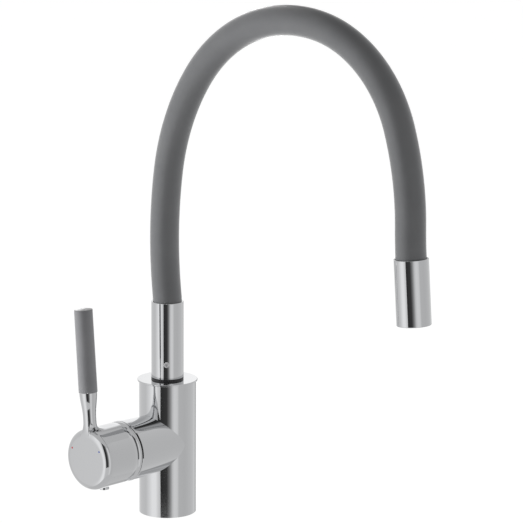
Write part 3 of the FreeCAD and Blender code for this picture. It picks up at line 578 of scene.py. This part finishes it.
LAMPS = (
    ("Large lamp on the left", (1.0, 0.22), (-0.9, -1.03, 0.12), 28),
    ("Large lamp on the right", (1.2, 1.6), (0.9, 1.9, 0.3), 34),
)
LAMP_TARGET = (0.1, 0, 0.2)
AMBIENT = 0.31

FLOOR_SIZE = 12
FLOOR_WHITE = (0.95, 0.95, 0.95, 1)
FLOOR_ROUGHNESS = 0.9
FLOOR_GLOW = 1.12
FLOOR_GLOW_SHARE = 0.85

# What the chrome reflects: greys by direction round the tap, from (degrees, grey) pairs
BRIGHTEST = 1.3
WALL_SHADES = (
    (-180, 1.3), (-165, 1.0), (-140, 0.86), (-95, 0.83), (-76, 1.05), (-62, 1.25), (-46, 1.25),
    (-36, 1.0), (-24, 0.8), (21, 0.82), (30, 1.0), (42, 0.95), (49, 0.72), (75, 0.7), (112, 0.78),
    (142, 0.9), (147, 0.9), (150, 0.35), (154, 0.35), (158, 0.6), (172, 0.6), (178, 1.3),
)
DARK_END_SHADES = ((-26, 0.04), (0, 0.06), (9, 0.24), (16, 0.5), (22, 0.82))
CEILING_SHADES = ((-180, 0.7), (180, 0.7))
GROUND_SHADES = ((-180, 0.75), (180, 0.75))
WALL_RADIUS = 1.3
WALL_FOOT = -1.3
WALL_TOP = 1.27
DARK_END_RADIUS = 1.1
DARK_END_FOOT = -0.33
DARK_END_TOP = 1.25
WALL_STEP_DEGREES = 3
POST_SIDES = 3
POST_RADIUS = 0.1
DISC_SIDES = 96


def make_camera():
    camera = bpy.data.objects.new("Camera", bpy.data.cameras.new("Camera"))
    bpy.context.scene.collection.objects.link(camera)
    camera.data.sensor_width = CAMERA_SENSOR
    camera.data.lens = CAMERA_LENS
    camera.data.clip_end = CAMERA_REACH
    turn = Matrix.Rotation(CAMERA_TURN, 4, "Z") @ Matrix.Rotation(CAMERA_TIP, 4, "X")
    roll = Matrix.Rotation(CAMERA_ROLL, 4, "Z")
    camera.matrix_world = Matrix.Translation(CAMERA_PLACE) @ turn @ roll
    bpy.context.scene.camera = camera


def add_lamp(name, size, place_at, power):
    """A soft rectangular lamp that points at the tap and isn't reflected itself."""
    data = bpy.data.lights.new(name, "AREA")
    data.shape = "RECTANGLE"
    data.size, data.size_y = size
    data.energy = power
    lamp = bpy.data.objects.new(name, data)
    bpy.context.scene.collection.objects.link(lamp)
    towards = (Vector(LAMP_TARGET) - Vector(place_at)).to_track_quat("-Z", "Y")
    lamp.matrix_world = Matrix.Translation(place_at) @ towards.to_matrix().to_4x4()
    lamp.visible_glossy = False


def make_world():
    """A plain white studio, dimmer where it lights the tap's matt pieces."""
    world = bpy.data.worlds.new("Studio")
    bpy.context.scene.world = world
    world.use_nodes = True
    nodes = world.node_tree.nodes
    links = world.node_tree.links
    paths = nodes.new("ShaderNodeLightPath")
    seen = paths.outputs["Is Camera Ray"]
    for other in ("Is Glossy Ray", "Is Transmission Ray"):
        either = nodes.new("ShaderNodeMath")
        either.operation = "MAXIMUM"
        links.new(seen, either.inputs[0])
        links.new(paths.outputs[other], either.inputs[1])
        seen = either.outputs[0]
    strength = nodes.new("ShaderNodeMapRange")
    strength.inputs["To Min"].default_value = AMBIENT
    strength.inputs["To Max"].default_value = 1.0
    links.new(seen, strength.inputs["Value"])
    background = nodes["Background"]
    background.inputs["Color"].default_value = (1, 1, 1, 1)
    links.new(strength.outputs["Result"], background.inputs["Strength"])


def make_floor():
    """A white floor that keeps a faint shadow of the tap."""
    pick()
    bpy.ops.mesh.primitive_plane_add(size=FLOOR_SIZE)
    floor = bpy.context.object
    floor.name = "floor"
    floor.visible_glossy = False
    material = bpy.data.materials.new("White floor")
    material.use_nodes = True
    nodes = material.node_tree.nodes
    links = material.node_tree.links
    shader = nodes["Principled BSDF"]
    shader.inputs["Base Color"].default_value = FLOOR_WHITE
    shader.inputs["Roughness"].default_value = FLOOR_ROUGHNESS
    glow = nodes.new("ShaderNodeEmission")
    glow.inputs["Strength"].default_value = FLOOR_GLOW
    mix = nodes.new("ShaderNodeMixShader")
    mix.inputs["Fac"].default_value = FLOOR_GLOW_SHARE
    links.new(shader.outputs[0], mix.inputs[1])
    links.new(glow.outputs[0], mix.inputs[2])
    links.new(mix.outputs[0], nodes["Material Output"].inputs["Surface"])
    floor.data.materials.append(material)


def only_in_reflections(piece):
    piece.visible_camera = False
    piece.visible_diffuse = False
    piece.visible_shadow = False
    piece.visible_transmission = False


def glowing(name, shades):
    """A studio surface whose grey follows the direction round the tap, from (degrees, grey) pairs.

    Zero degrees is where the camera stands, and degrees grow towards the picture's right.
    """
    material = bpy.data.materials.new(name)
    material.use_nodes = True
    nodes = material.node_tree.nodes
    links = material.node_tree.links
    nodes.remove(nodes["Principled BSDF"])
    turn = nodes.new("ShaderNodeMapping")
    turn.inputs["Rotation"].default_value = (0, 0, CAMERA_AZIMUTH)
    links.new(nodes.new("ShaderNodeTexCoord").outputs["Object"], turn.inputs["Vector"])
    round_tap = nodes.new("ShaderNodeTexGradient")
    round_tap.gradient_type = "RADIAL"
    links.new(turn.outputs["Vector"], round_tap.inputs["Vector"])
    ramp = nodes.new("ShaderNodeValToRGB")
    stops = ramp.color_ramp.elements
    while len(stops) < len(shades):
        stops.new(1.0)
    for stop, (degrees, grey) in zip(stops, shades):
        stop.position = 0.5 + degrees / 360
        stop.color = (grey / BRIGHTEST, grey / BRIGHTEST, grey / BRIGHTEST, 1)
    links.new(round_tap.outputs["Fac"], ramp.inputs["Fac"])
    glow = nodes.new("ShaderNodeEmission")
    glow.inputs["Strength"].default_value = BRIGHTEST
    links.new(ramp.outputs["Color"], glow.inputs["Color"])
    links.new(glow.outputs[0], nodes["Material Output"].inputs["Surface"])
    return material


def add_wall(name, radius, low, high, first, last, material):
    """An upright curved screen round the tap between two directions: a post spun about the tap."""
    pick()
    start = math.radians(first) - CAMERA_AZIMUTH
    foot = Vector((math.cos(start), math.sin(start), 0)) * radius + Vector((0, 0, low))
    bpy.ops.mesh.primitive_circle_add(vertices=POST_SIDES, radius=POST_RADIUS, location=foot)
    wall = bpy.context.object
    wall.name = name
    bpy.ops.object.transform_apply(location=True, rotation=True, scale=True)
    bpy.ops.object.mode_set(mode="EDIT")
    bpy.ops.mesh.select_all(action="SELECT")
    bpy.ops.mesh.merge(type="CENTER")
    extrude((0, 0, high - low))
    bpy.ops.mesh.select_all(action="SELECT")
    steps = round((last - first) / WALL_STEP_DEGREES)
    bpy.ops.mesh.spin(steps=steps, angle=math.radians(first - last), center=(0, 0, 0), axis=(0, 0, 1))
    bpy.ops.object.mode_set(mode="OBJECT")
    wall.data.materials.append(material)
    only_in_reflections(wall)


def add_disc(name, height, material):
    """A round ceiling or ground that only reflections see."""
    pick()
    bpy.ops.mesh.primitive_circle_add(
        vertices=DISC_SIDES, radius=WALL_RADIUS, location=(0, 0, height), fill_type="NGON",
    )
    disc = bpy.context.object
    disc.name = name
    bpy.ops.object.transform_apply(location=True, rotation=True, scale=True)
    disc.data.materials.append(material)
    only_in_reflections(disc)


def make_surroundings():
    """The photo studio round the tap, which the chrome reflects."""
    walls = glowing("Studio walls", WALL_SHADES)
    dark_end = glowing("Dark end of the studio", DARK_END_SHADES)
    first, last = DARK_END_SHADES[0][0], DARK_END_SHADES[-1][0]
    add_wall("studio_walls", WALL_RADIUS, WALL_FOOT, WALL_TOP, -180, 180, walls)
    add_wall("studio_dark_end", DARK_END_RADIUS, DARK_END_FOOT, DARK_END_TOP, first, last, dark_end)
    add_disc("studio_ceiling", WALL_TOP, glowing("Studio ceiling", CEILING_SHADES))
    add_disc("studio_floor", WALL_FOOT, glowing("Studio floor", GROUND_SHADES))


def make_studio():
    make_camera()
    make_world()
    make_floor()
    make_surroundings()
    for name, size, place_at, power in LAMPS:
        add_lamp(name, size, place_at, power)


for name, node in frame["nodes"].items():
    slot = next(item["material_slot"] for item in frame["record"]["subparts"] if item["node"] == name)
    paint(node, slot)

make_hose()
make_handle()
make_grip()
make_studio()
bpy.context.scene.view_settings.view_transform = "Standard"
